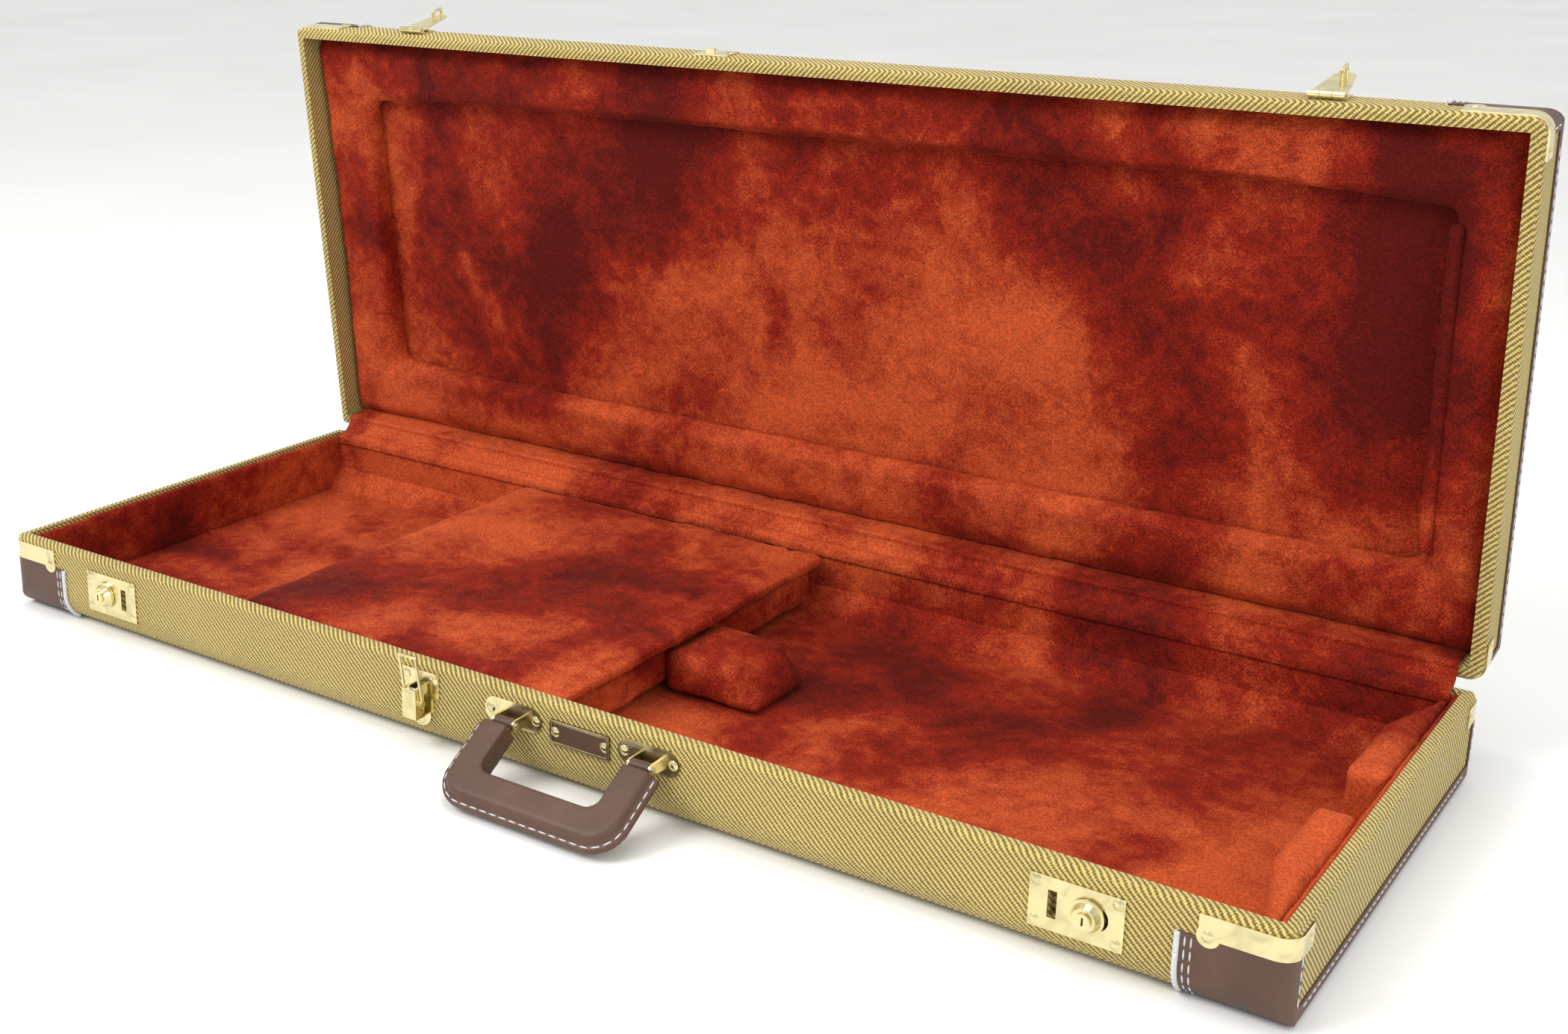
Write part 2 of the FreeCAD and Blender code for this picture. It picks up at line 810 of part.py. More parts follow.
def latch_catch():
    """A plate on the lid whose hook the loop is drawn down over."""
    z0 = base_depth + rim_gap + rim_round + 1
    half, hook = catch_width / 2, catch_hook_width / 2
    plate = box(latch_x - half, latch_x + half, front - plate_thickness, front, z0,
                z0 + catch_height)
    y0 = front - plate_thickness
    shelf = box(latch_x - hook, latch_x + hook, y0 - catch_hook_out, y0, z0, z0 + 1.6)
    nose = box(latch_x - hook, latch_x + hook, y0 - catch_hook_out,
               y0 - catch_hook_out + 1.4, z0, z0 + catch_hook_height)
    return plate.fuse([shelf, nose]).cut(rivet_shanks(catch_rivet_places())).removeSplitter()


# ---- handle ----

handle_pivot_y = front - handle_pivot_out


def bracket_rivet_places():
    places = []
    for side in (-1, 1):
        x = handle_x + side * handle_spacing / 2
        places += [
            (V(x + dx, front, bracket_z), -Y)
            for dx in (-bracket_rivet_reach, bracket_rivet_reach)
        ]
    return places


def handle_bracket(side):
    """An oval plate with two ears that carry the handle's pin."""
    x = handle_x + side * handle_spacing / 2
    half, r, z = bracket_width / 2, bracket_height / 2, bracket_z
    plate = box(x - half + r, x + half - r, front - plate_thickness, front, z - r, z + r)
    for dx in (-1, 1):
        end = rod(r, V(x + dx * (half - r), front, z), -Y, plate_thickness)
        plate = plate.fuse(end)
    for dx in (-1, 1):
        x0, x1 = sorted((x + dx * bracket_ear_gap / 2,
                         x + dx * (bracket_ear_gap / 2 + bracket_ear_thickness)))
        ear = box(x0, x1, handle_pivot_y, front, handle_pivot_z - handle_eye_radius,
                  handle_pivot_z + handle_eye_radius)
        knob = rod(handle_eye_radius, V(x0, handle_pivot_y, handle_pivot_z), X,
                   bracket_ear_thickness)
        plate = plate.fuse(ear).fuse(knob)
    hole = rod(handle_pin_radius, V(x - half, handle_pivot_y, handle_pivot_z), X, bracket_width)
    return plate.cut(hole).cut(rivet_shanks(bracket_rivet_places())).removeSplitter()


def handle_pins():
    length = bracket_ear_gap + 2 * bracket_ear_thickness + 2
    made = []
    for side in (-1, 1):
        x = handle_x + side * handle_spacing / 2 - length / 2
        made.append(rod(handle_pin_radius, V(x, handle_pivot_y, handle_pivot_z), X, length))
    return Part.makeCompound(made)


def swing_handle(shape):
    shape = shape.copy()
    shape.rotate(V(0, handle_pivot_y, handle_pivot_z), X, -handle_drop_angle)
    return shape


def handle_outline(inset, thickness):
    """The hanging handle's U, drawn in by `inset`, centred on its pivot line."""
    half = handle_width / 2 - inset
    low = handle_pivot_z - handle_reach + inset
    radius = handle_corner_radius - inset
    face = rounded_rectangle(half, low, handle_pivot_z + 30, X, Z, radius, radius)
    face.translate(V(handle_x, handle_pivot_y - thickness / 2, 0))
    solid = face.extrude(Y * thickness)
    top = box(-case_length, case_length, -case_width, 0, handle_pivot_z - grip_top_drop, 200)
    return solid.cut(top)


def handle_opening(grow):
    half = handle_width / 2 - handle_leg_width + grow
    low = handle_pivot_z - handle_reach + handle_grip_depth - grow
    face = rounded_rectangle(half, low, handle_pivot_z + 60, X, Z, grip_window_radius, grip_window_radius)
    face.translate(V(handle_x, handle_pivot_y - handle_thickness, 0))
    return face.extrude(Y * 2 * handle_thickness)


def handle_grip():
    """Moulded leather: a thick inner body with a thin stitched flange round it."""
    body = handle_outline(handle_flange, handle_thickness)
    body = body.makeFillet(grip_edge_round, [e for e in body.Edges if along_outside(e)])
    flange = handle_outline(0, handle_flange_thickness)
    whole = body.fuse(flange).cut(handle_opening(0))
    return swing_handle(whole.removeSplitter())


def along_outside(edge):
    """True for the long outer edges of the body, below its cut top."""
    return edge.BoundBox.YLength < 0.1 and edge.BoundBox.ZMin < handle_pivot_z - 20


def handle_straps():
    """Steel ends that turn on the pins and run down into the leather."""
    made = []
    for side in (-1, 1):
        x = handle_x + side * handle_spacing / 2
        half = bracket_ear_gap / 2 - strap_side_gap
        eye = rod(handle_eye_radius, V(x - half, handle_pivot_y, handle_pivot_z), X, 2 * half)
        blade = box(x - half, x + half, handle_pivot_y - strap_half_thickness,
                    handle_pivot_y + strap_half_thickness,
                    handle_pivot_z - grip_top_drop, handle_pivot_z - 2)
        bore = rod(handle_pin_radius + running_clearance,
                   V(x - half, handle_pivot_y, handle_pivot_z), X, 2 * half)
        made.append(swing_handle(eye.fuse(blade).cut(bore).removeSplitter()))
    return Part.makeCompound(made)


# ---- nameplate ----

def nameplate_rivet_places():
    return [
        (V(handle_x + dx, front, nameplate_z), -Y)
        for dx in (-nameplate_rivet_reach, nameplate_rivet_reach)
    ]


def nameplate():
    half, mid = nameplate_width / 2, nameplate_z
    plate = box(handle_x - half, handle_x + half, front - plate_thickness, front,
                mid - nameplate_height / 2, mid + nameplate_height / 2)
    return plate.cut(rivet_shanks(nameplate_rivet_places()))


# ---- assembly ----

def base_nodes():
    clamp_places = clamp_rivet_places(base_depth)
    plate_places = (
        lock_rivet_places() + latch_rivet_places() + bracket_rivet_places()
        + nameplate_rivet_places()
    )
    holes = rivet_shanks(clamp_places + plate_places)
    for side in (-1, 1):
        holes = holes.fuse(lock_openings(side, lock_pocket_depth))
    nodes = {}
    for name, shape in shell_pieces(base_depth).items():
        nodes["base_" + name] = shape if name == "panel" else shape.cut(holes)
    nodes["base_left_trim"] = end_trim(-1, base_depth, trim_thickness)
    nodes["base_right_trim"] = end_trim(1, base_depth, trim_thickness)
    nodes["base_corner_clamps"] = corner_clamps(base_depth)
    nodes["base_rivets"] = Part.makeCompound(
        rivets(clamp_places, clamp_thickness).Solids
        + rivets(plate_places, plate_thickness).Solids
    )
    nodes["base_floor_lining"] = floor_lining()
    nodes.update(wall_linings())
    nodes["hinge_partition"] = partition(hinge_partition_x, compartment_start)
    nodes["end_partition"] = partition(compartment_end, body_start)
    nodes["neck_block"] = neck_block()
    nodes["end_block_front"] = end_block(-1)
    nodes["end_block_back"] = end_block(1)
    nodes["hinge_base_leaves"] = hinge_leaves(False)
    nodes["hinge_pins"] = hinge_pins()
    nodes["latch_plate"] = latch_plate()
    nodes["latch_pin"] = latch_pin()
    nodes["handle_pins"] = handle_pins()
    nodes["nameplate"] = nameplate()
    for side, hand in ((-1, "left"), (1, "right")):
        nodes["lock_plate_" + hand] = lock_plate(side)
        nodes["handle_bracket_" + hand] = handle_bracket(side)
    return nodes


def lid_nodes():
    """Everything on the lid. Its boards are made mouth up, so front and back change places."""
    clamp_places = clamp_rivet_places(lid_depth)
    plate_places = hasp_rivet_places() + catch_rivet_places()
    holes = rivet_shanks(plate_places)
    nodes = {}
    turned_over = {"front_wall": "back_wall", "back_wall": "front_wall"}
    for name, shape in shell_pieces(lid_depth).items():
        if name != "panel":
            shape = shape.cut(rivet_shanks(clamp_places))
        nodes["lid_" + turned_over.get(name, name)] = open_lid(close_lid(shape).cut(holes))
    nodes["lid_left_trim"] = open_lid(close_lid(end_trim(-1, lid_depth, -trim_thickness)))
    nodes["lid_right_trim"] = open_lid(close_lid(end_trim(1, lid_depth, -trim_thickness)))
    nodes["lid_corner_clamps"] = open_lid(close_lid(corner_clamps(lid_depth)))
    nodes["lid_rivets"] = Part.makeCompound(
        open_lid(close_lid(rivets(clamp_places, clamp_thickness))).Solids
        + open_lid(rivets(plate_places, plate_thickness)).Solids
    )
    for name, shape in lid_pads().items():
        nodes[name] = open_lid(shape)
    nodes["hasp_plates"] = open_lid(hasp_plates())
    nodes["hasp_pins"] = open_lid(hasp_pins())
    nodes["latch_catch"] = open_lid(latch_catch())
    nodes["hinge_lid_leaves"] = open_lid(hinge_leaves(True))
    return nodes


def moving_nodes():
    nodes = {"compartment_door": compartment_door(), "compartment_door_board": door_board()}
    for side, hand in ((-1, "left"), (1, "right")):
        nodes["hasp_" + hand] = open_hasp(hasp(side))
        nodes["lock_button_" + hand] = lock_button(side)
        nodes["key_plug_" + hand] = key_plug(side)
    nodes["latch_lever"] = latch_lever()
    nodes["latch_loop"] = latch_loop()
    nodes["handle_grip"] = handle_grip()
    nodes["handle_straps"] = handle_straps()
    return nodes


def main():
    os.makedirs("parts", exist_ok=True)
    for nodes in (base_nodes(), lid_nodes(), moving_nodes()):
        for name, shape in nodes.items():
            shape.exportStep("parts/" + name + ".step")
            print(name, len(shape.Solids), round(shape.Volume), shape.isValid())


main()
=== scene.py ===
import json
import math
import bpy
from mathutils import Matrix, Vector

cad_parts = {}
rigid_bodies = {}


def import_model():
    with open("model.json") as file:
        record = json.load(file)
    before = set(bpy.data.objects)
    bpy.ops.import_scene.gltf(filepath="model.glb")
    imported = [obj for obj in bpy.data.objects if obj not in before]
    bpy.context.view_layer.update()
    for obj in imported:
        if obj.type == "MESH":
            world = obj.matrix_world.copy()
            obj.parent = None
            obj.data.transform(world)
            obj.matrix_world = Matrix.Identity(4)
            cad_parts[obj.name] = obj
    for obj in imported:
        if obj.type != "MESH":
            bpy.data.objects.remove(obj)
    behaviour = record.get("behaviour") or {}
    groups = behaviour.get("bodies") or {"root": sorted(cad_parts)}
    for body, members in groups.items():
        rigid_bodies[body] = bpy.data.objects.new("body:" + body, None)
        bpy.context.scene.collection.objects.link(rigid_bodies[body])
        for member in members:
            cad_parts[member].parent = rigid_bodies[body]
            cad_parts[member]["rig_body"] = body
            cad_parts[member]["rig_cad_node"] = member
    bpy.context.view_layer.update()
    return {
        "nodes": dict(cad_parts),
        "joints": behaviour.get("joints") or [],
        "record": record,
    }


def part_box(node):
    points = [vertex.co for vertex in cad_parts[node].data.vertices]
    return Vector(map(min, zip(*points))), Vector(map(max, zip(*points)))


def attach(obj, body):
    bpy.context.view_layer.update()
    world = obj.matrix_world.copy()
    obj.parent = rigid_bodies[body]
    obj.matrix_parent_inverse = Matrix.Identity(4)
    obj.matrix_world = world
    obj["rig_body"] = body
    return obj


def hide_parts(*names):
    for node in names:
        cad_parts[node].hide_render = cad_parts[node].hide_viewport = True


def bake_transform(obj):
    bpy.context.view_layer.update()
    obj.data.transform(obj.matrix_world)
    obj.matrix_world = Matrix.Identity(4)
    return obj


bl_info = {
    "name": "Guitar case",
    "version": (1, 0, 0),
    "blender": (4, 5, 0),
    "location": "3D View > Sidebar > Case",
    "description": "Dresses a hard guitar case in tweed, leather, brass and plush",
    "category": "Object",
}

import bpy
from bpy.props import FloatProperty, FloatVectorProperty, IntProperty, PointerProperty
from mathutils import Euler, Matrix, Vector, noise

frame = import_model()
nodes = frame["nodes"]
joints = {j["name"]: j for j in frame["joints"]}

MM = 0.001
HINGE = Vector(joints["lid_hinge"]["pos_m"])
LID_ANGLE = math.radians(joints["lid_hinge"]["range_deg"][1])
LID_OPEN = (
    Matrix.Translation(HINGE) @ Matrix.Rotation(-LID_ANGLE, 4, "X") @ Matrix.Translation(-HINGE)
)
LID_SHUT = LID_OPEN.inverted()
GRIP_PIVOT = Vector(joints["handle_swing"]["pos_m"])
HANDLE_DROP = 58  # degrees that the handle hangs out from the front

# Sizes that the leather, piping and stitches follow on the shell.
FOLDED_EDGE = 24 * MM  # radius of the long edges of base and lid
SKIN = 1.2 * MM  # thickness of the leather
RIM_SKIRT = 18.2 * MM  # from the mouth down to where the leather ends
LEATHER_REACH = 62 * MM  # from the end of the case to the piping

# Added to Y on the base's rounded rim, so that the weave runs on from the front.
RIM_ROUND = 5 * MM
front_low, front_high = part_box("base_front_wall")
RIM_TURN = front_high.z - front_low.y - 2 * RIM_ROUND * (1 - math.sqrt(0.5))

# Cells that the thin linings are cut in.
LINING_CELL = 9 * MM
COVE_CELL = 7 * MM
LID_CELL = 16 * MM

# Where the camera stands, how it is turned in degrees, and its lens.
CAMERA_PLACE = (0.7553, -1.1118, 0.5932)
CAMERA_DOWN, CAMERA_ROUND, CAMERA_ROLL = 16.86, 36.04, 0.14
CAMERA_LENS, CAMERA_SHIFT = 44.70, (0.1084, -0.0468)


def shut_box(names):
    """Lowest and highest corners of lid nodes with the lid shut."""
    points = [
        LID_SHUT @ v.co for name in names for v in nodes[name].data.vertices
    ]
    return (
        Vector([min(p[i] for p in points) for i in range(3)]),
        Vector([max(p[i] for p in points) for i in range(3)]),
    )


# ---- settings ----

class CaseStitching(bpy.types.PropertyGroup):
    pitch: FloatProperty(
        name="Pitch", description="From one stitch to the next", default=8.0 * MM, unit="LENGTH"
    )
    length: FloatProperty(
        name="Length", description="Length of a stitch", default=6.0 * MM, unit="LENGTH"
    )
    thread: FloatProperty(
        name="Thread", description="Radius of the thread", default=0.5 * MM, unit="LENGTH"
    )
    piping: FloatProperty(
        name="Piping", description="Radius of the piping cord", default=1.7 * MM, unit="LENGTH"
    )


class CasePadding(bpy.types.PropertyGroup):
    voxel: FloatProperty(
        name="Cell", description="Size of the cells that the cloth is cut in",
        default=5.0 * MM, unit="LENGTH",
    )
    pressure: FloatProperty(
        name="Pressure", description="How hard the stuffing pushes", default=4.0
    )
    frames: IntProperty(
        name="Steps", description="How long the cloth settles", default=20
    )
    crumple: FloatProperty(
        name="Crumple", description="Depth of the dents in the pile",
        default=1.3 * MM, unit="LENGTH",
    )


class CaseColours(bpy.types.PropertyGroup):
    yarn: FloatVectorProperty(
        name="Yarn", description="Pale yarn of the tweed", default=(0.58, 0.45, 0.135),
        subtype="COLOR",
    )
    stripe: FloatVectorProperty(
        name="Stripe", description="Dark yarn of the tweed", default=(0.150, 0.098, 0.026),
        subtype="COLOR",
    )
    leather: FloatVectorProperty(
        name="Leather", description="Leather of the ends and handle",
        default=(0.088, 0.040, 0.023), subtype="COLOR",
    )
    thread: FloatVectorProperty(
        name="Thread", description="Stitches and piping", default=(0.66, 0.66, 0.67),
        subtype="COLOR",
    )
    metal: FloatVectorProperty(
        name="Brass", description="Hardware", default=(0.78, 0.68, 0.37), subtype="COLOR"
    )
    # The dark and bright pile colours are shaded and lit copies of the plush: painted sheen of
    # the crushed pile
    pile_shaded: FloatVectorProperty(
        name="Pile, dark", description="Plush brushed away", default=(0.090, 0.0030, 0.0012),
        subtype="COLOR",
    )
    pile_mid: FloatVectorProperty(
        name="Pile, middle", description="Plush between", default=(0.235, 0.0120, 0.0030),
        subtype="COLOR",
    )
    pile_lit: FloatVectorProperty(
        name="Pile, bright", description="Plush brushed up", default=(0.50, 0.078, 0.020),
        subtype="COLOR",
    )


# ---- nodes of the materials ----

class Shader:
    """A material's node tree, written one node at a time."""

    def __init__(self, name):
        self.material = bpy.data.materials.new(name)
        self.material.use_nodes = True
        self.tree = self.material.node_tree
        self.surface = self.tree.nodes["Principled BSDF"]

    def add(self, kind, *values, **settings):
        made = self.tree.nodes.new("ShaderNode" + kind)
        for key, value in settings.items():
            setattr(made, key, value)
        for socket, value in zip(made.inputs, values):
            self.join(socket, value)
        return made

    def join(self, socket, value):
        if value is None:
            return
        if isinstance(value, bpy.types.NodeSocket):
            self.tree.links.new(value, socket)
        else:
            socket.default_value = value

    def math(self, operation, *values):
        return self.add("Math", *values, operation=operation).outputs[0]

    def speckle(self, where, scale, detail=3.0, distortion=0.0):
        made = self.add("TexNoise")
        self.join(made.inputs["Vector"], where)
        self.join(made.inputs["Scale"], scale)
        self.join(made.inputs["Detail"], detail)
        self.join(made.inputs["Distortion"], distortion)
        return made.outputs["Fac"]

    def ramp(self, factor, *stops):
        made = self.add("ValToRGB", factor)
        band = made.color_ramp
        while len(band.elements) < len(stops):
            band.elements.new(0.5)
        for element, (place, colour) in zip(band.elements, stops):
            element.position = place
            element.color = (*colour, 1)
        return made.outputs[0]

    def finish(self, colour, roughness, height, depth, **fixed):
        self.join(self.surface.inputs["Base Color"], colour)
        self.join(self.surface.inputs["Roughness"], roughness)
        bump = self.add("Bump")
        bump.inputs["Strength"].default_value = 0.8
        bump.inputs["Distance"].default_value = depth
        self.join(bump.inputs["Height"], height)
        self.join(self.surface.inputs["Normal"], bump.outputs[0])
        for key, value in fixed.items():
            self.surface.inputs[key.replace("_", " ")].default_value = value
        return self.material


def toned(colour, share):
    """A colour made darker or lighter by a share."""
    return tuple(c * share for c in colour)


def tweed(name, turn, over_rim):
    """Diagonal twill, laid flat on each side of the case by the side's own direction.

    `turn` is how far the piece is turned about X, and `over_rim` is added to Y on level
    faces, so that the weave runs on from the front over the rim.
    """
    look = bpy.context.scene.case_colours
    stripe_pitch, bead_pitch, wander = 4.4 * MM, 2.2 * MM, 0.6 * MM
    steep = 0.7  # past this share of the normal, a face belongs to that direction
    s = Shader(name)
    coord = s.add("TexCoord")
    place = s.add("Mapping", coord.outputs["Object"])
    place.inputs["Rotation"].default_value = (turn, 0, 0)
    facing = s.add("Mapping", coord.outputs["Normal"], vector_type="NORMAL")
    facing.inputs["Rotation"].default_value = (turn, 0, 0)
    p = s.add("SeparateXYZ", place.outputs[0]).outputs
    n = s.add("SeparateXYZ", facing.outputs[0]).outputs
    end = s.math("GREATER_THAN", s.math("ABSOLUTE", n[0]), steep)
    flat = s.math("GREATER_THAN", s.math("ABSOLUTE", n[2]), steep)
    u = s.math("ADD", p[0], s.math("MULTIPLY", end, s.math("SUBTRACT", p[1], p[0])))
    top = s.math("ADD", p[1], over_rim)
    v = s.math("ADD", p[2], s.math("MULTIPLY", flat, s.math("SUBTRACT", top, p[2])))
    wobble = s.math("MULTIPLY", s.speckle(place.outputs[0], 60.0), wander)
    along = s.math("ADD", s.math("ADD", u, v), wobble)
    across = s.math("SUBTRACT", u, v)
    stripe = s.math("SINE", s.math("MULTIPLY", along, math.tau / stripe_pitch))
    bead = s.math("SINE", s.math("MULTIPLY", across, math.tau / bead_pitch))
    weave = s.math("ADD", stripe, s.math("MULTIPLY", bead, 0.45))
    fleck = s.speckle(place.outputs[0], 900.0, 2.0)
    level = s.math("ADD", s.math("MULTIPLY", weave, 0.30), fleck)
    worn = s.speckle(place.outputs[0], 7.0, 4.0)
    level = s.math("ADD", level, s.math("MULTIPLY", s.math("SUBTRACT", worn, 0.5), 0.25))
    yarn, dark = tuple(look.yarn), tuple(look.stripe)
    colour = s.ramp(
        level, (0.28, dark), (0.47, toned(yarn, 0.55)), (0.62, yarn), (0.95, toned(yarn, 1.18))
    )
    return s.finish(colour, 0.78, weave, 0.35 * MM, Sheen_Weight=0.12, Specular_IOR_Level=0.35)


def plush(name):
    """Crushed pile: patches that catch the light and patches turned away from it, painted into
    the colour as painted sheen, with a broad painted highlight over the padding.
    """
    look = bpy.context.scene.case_colours
    s = Shader(name)
    where = s.add("TexCoord").outputs["Object"]
    # The broad sweep is a painted highlight: a wide lit stretch of pile over the padding, added
    # to the crushed patches
    highlight_sweep = s.speckle(where, 3.1, 2.0, 0.35)
    patches = s.speckle(where, 10.0, 8.0, 0.7)
    streaks = s.speckle(where, 75.0, 5.0, 0.6)
    pile = s.speckle(where, 950.0, 2.0)
    highlight_and_patches = s.math("ADD", s.math("MULTIPLY", highlight_sweep, 0.44), s.math("MULTIPLY", patches, 0.32))
    fine = s.math("ADD", s.math("MULTIPLY", streaks, 0.13), s.math("MULTIPLY", pile, 0.11))
    # Painted sheen and painted highlight: the lit and shaded pile colours spread over the
    # crushed patches and the broad sweep
    pile_sheen_and_highlight = s.ramp(
        s.math("ADD", highlight_and_patches, fine), (0.41, tuple(look.pile_shaded)), (0.48, tuple(look.pile_mid)),
        (0.565, tuple(look.pile_lit)), (0.70, toned(tuple(look.pile_lit), 1.15)),
    )
    tufts = s.add("TexVoronoi")
    s.join(tufts.inputs["Vector"], where)
    s.join(tufts.inputs["Scale"], 430.0)
    level = s.math("ADD", s.math("MULTIPLY", tufts.outputs["Distance"], 0.5), pile)
    shade = s.ramp(level, (0.55, (0.60,) * 3), (0.98, (1.20,) * 3))
    mix = s.add("Mix", data_type="RGBA", blend_type="MULTIPLY")
    mix.inputs["Factor"].default_value = 0.85
    first, second, mixed = 6, 7, 2  # places of the node's colour sockets
    s.join(mix.inputs[first], pile_sheen_and_highlight)
    s.join(mix.inputs[second], shade)
    height = s.math("ADD", streaks, s.math("MULTIPLY", level, 0.35))
    made = s.finish(
        mix.outputs[mixed], 0.85, height, 1.1 * MM, Sheen_Weight=0.10, Sheen_Roughness=0.40,
        Specular_IOR_Level=0.15,
    )
    s.surface.inputs["Sheen Tint"].default_value = (1.0, 0.30, 0.12, 1)
    return made


def leather(name, colour):
    s = Shader(name)
    where = s.add("TexCoord").outputs["Object"]
    grain = s.add("TexVoronoi", feature="DISTANCE_TO_EDGE")
    s.join(grain.inputs["Vector"], where)
    s.join(grain.inputs["Scale"], 620.0)
    stain = s.speckle(where, 22.0, 6.0, 0.6)
    fine = s.speckle(where, 420.0, 4.0)
    level = s.math("ADD", s.math("MULTIPLY", stain, 0.75), s.math("MULTIPLY", fine, 0.25))
    tone = s.ramp(
        level, (0.30, toned(colour, 0.72)), (0.52, colour), (0.76, toned(colour, 1.35))
    )
    rough = s.math("ADD", 0.36, s.math("MULTIPLY", fine, 0.25))
    height = s.math("ADD", grain.outputs["Distance"], s.math("MULTIPLY", fine, 0.4))
    return s.finish(tone, rough, height, 0.25 * MM, Specular_IOR_Level=0.45)


def metal(name, colour, rough):
    s = Shader(name)
    where = s.add("TexCoord").outputs["Object"]
    tarnish = s.speckle(where, 70.0, 6.0, 0.8)
    scratches = s.speckle(where, 900.0, 3.0)
    tone = s.ramp(tarnish, (0.30, toned(colour, 0.74)), (0.55, colour))
    roughness = s.math("ADD", rough, s.math("MULTIPLY", tarnish, 0.22))
    return s.finish(tone, roughness, scratches, 0.05 * MM, Metallic=1.0)


def thread(name):
    s = Shader(name)
    where = s.add("TexCoord").outputs["Object"]
    twist = s.speckle(where, 1100.0, 2.0)
    colour = tuple(bpy.context.scene.case_colours.thread)
    tone = s.ramp(twist, (0.3, toned(colour, 0.65)), (0.6, colour))
    return s.finish(tone, 0.6, twist, 0.2 * MM)


def board(name):
    s = Shader(name)
    where = s.add("TexCoord").outputs["Object"]
    grain = s.speckle(where, 40.0, 6.0, 3.0)
    tone = s.ramp(grain, (0.35, (0.28, 0.17, 0.08)), (0.65, (0.52, 0.36, 0.19)))
    return s.finish(tone, 0.7, grain, 0.2 * MM)


def ground(name):
    s = Shader(name)
    where = s.add("TexCoord").outputs["Object"]
    shade = s.speckle(where, 2.0, 3.0)
    tone = s.ramp(shade, (0.3, (0.84, 0.84, 0.83)), (0.7, (0.88, 0.88, 0.87)))
    return s.finish(tone, 0.75, shade, 0.05 * MM)


MAKERS = {
    "tweed_base": lambda: tweed("tweed_base", 0.0, RIM_TURN),
    "tweed_lid": lambda: tweed("tweed_lid", LID_ANGLE, 0.0),
    "plush": lambda: plush("crushed_plush"),
    "leather": lambda: leather("end_leather", tuple(bpy.context.scene.case_colours.leather)),
    "brass": lambda: metal("worn_brass", tuple(bpy.context.scene.case_colours.metal), 0.10),
    "steel": lambda: metal("pin_steel", (0.55, 0.53, 0.49), 0.28),
    "thread": lambda: thread("sewing_thread"),
    "board": lambda: board("wood_board"),
    "ground": lambda: ground("studio_floor"),
}
made_finishes = {}


def finish_of(name):
    """The material that goes by a name here, made the first time it is asked for."""
    if name not in made_finishes:
        made_finishes[name] = MAKERS[name]()
    return made_finishes[name]


def dress(obj, name):
    obj.data.materials.clear()
    obj.data.materials.append(finish_of(name))


# ---- modelling ----

def pick_only(obj):
    bpy.ops.object.select_all(action="DESELECT")
    obj.select_set(True)
    bpy.context.view_layer.objects.active = obj


def apply(obj, kind, **settings):
    """Adds a modifier and applies it at once."""
    pick_only(obj)
    made = obj.modifiers.new(kind, kind)
    for key, value in settings.items():
        setattr(made, key, value)
    bpy.ops.object.modifier_apply(modifier=made.name)


def block(name, low, high):
    """A cube that fills a box, ready to be shaped."""
    bpy.ops.object.select_all(action="DESELECT")
    low, high = Vector(low), Vector(high)
    bpy.ops.mesh.primitive_cube_add(size=1, location=(low + high) / 2)
    obj = bpy.context.object
    obj.name = name
    obj.scale = high - low
    bpy.ops.object.transform_apply(location=True, rotation=True, scale=True)
    return obj


def pick_vertices(obj, test):
    """Selects the vertices that pass a test, and stays in edit mode."""
    bpy.ops.object.mode_set(mode="EDIT")
    bpy.ops.mesh.select_mode(type="VERT")
    bpy.ops.mesh.select_all(action="DESELECT")
    bpy.ops.object.mode_set(mode="OBJECT")
    for v in obj.data.vertices:
        v.select = test(v.co)
    bpy.ops.object.mode_set(mode="EDIT")


def cut_across(obj, places):
    """Bisects the whole mesh at each (point, normal)."""
    pick_only(obj)
    bpy.ops.object.mode_set(mode="EDIT")
    for point, normal in places:
        bpy.ops.mesh.select_all(action="SELECT")
        bpy.ops.mesh.bisect(plane_co=point, plane_no=normal)
    bpy.ops.object.mode_set(mode="OBJECT")


def shift(obj, test, move):
    """Moves the vertices that pass a test."""
    pick_vertices(obj, test)
    bpy.ops.transform.translate(value=move)
    bpy.ops.object.mode_set(mode="OBJECT")


def ring(name, low, high, inner_low, inner_high):
    """A frame: a block with a rectangular window through it along Z."""
    obj = block(name, low, high)
    x, y = Vector((1, 0, 0)), Vector((0, 1, 0))
    cut_across(obj, [(inner_low, x), (inner_high, x), (inner_low, y), (inner_high, y)])
    bpy.ops.object.mode_set(mode="EDIT")
    bpy.ops.mesh.select_mode(type="FACE")
    bpy.ops.mesh.select_all(action="DESELECT")
    bpy.ops.object.mode_set(mode="OBJECT")
    for face in obj.data.polygons:
        c = face.center
        face.select = (
            abs(face.normal.z) > 0.9
            and inner_low[0] < c.x < inner_high[0] and inner_low[1] < c.y < inner_high[1]
        )
    bpy.ops.object.mode_set(mode="EDIT")
    bpy.ops.mesh.bridge_edge_loops()
    bpy.ops.mesh.select_all(action="SELECT")
    bpy.ops.mesh.normals_make_consistent(inside=False)
    bpy.ops.object.mode_set(mode="OBJECT")
    return obj


def crumple(obj, depth):
    """Shallow dents, the same every time."""
    wave, finer, fine_share, apart = 34.0, 3.1, 0.45, Vector((7, 3, 5))
    normals = [v.normal.copy() for v in obj.data.vertices]
    for v, n in zip(obj.data.vertices, normals):
        wide = noise.noise(v.co * wave)
        fine = noise.noise(v.co * wave * finer + apart)
        v.co += n * depth * (wide + fine_share * fine)


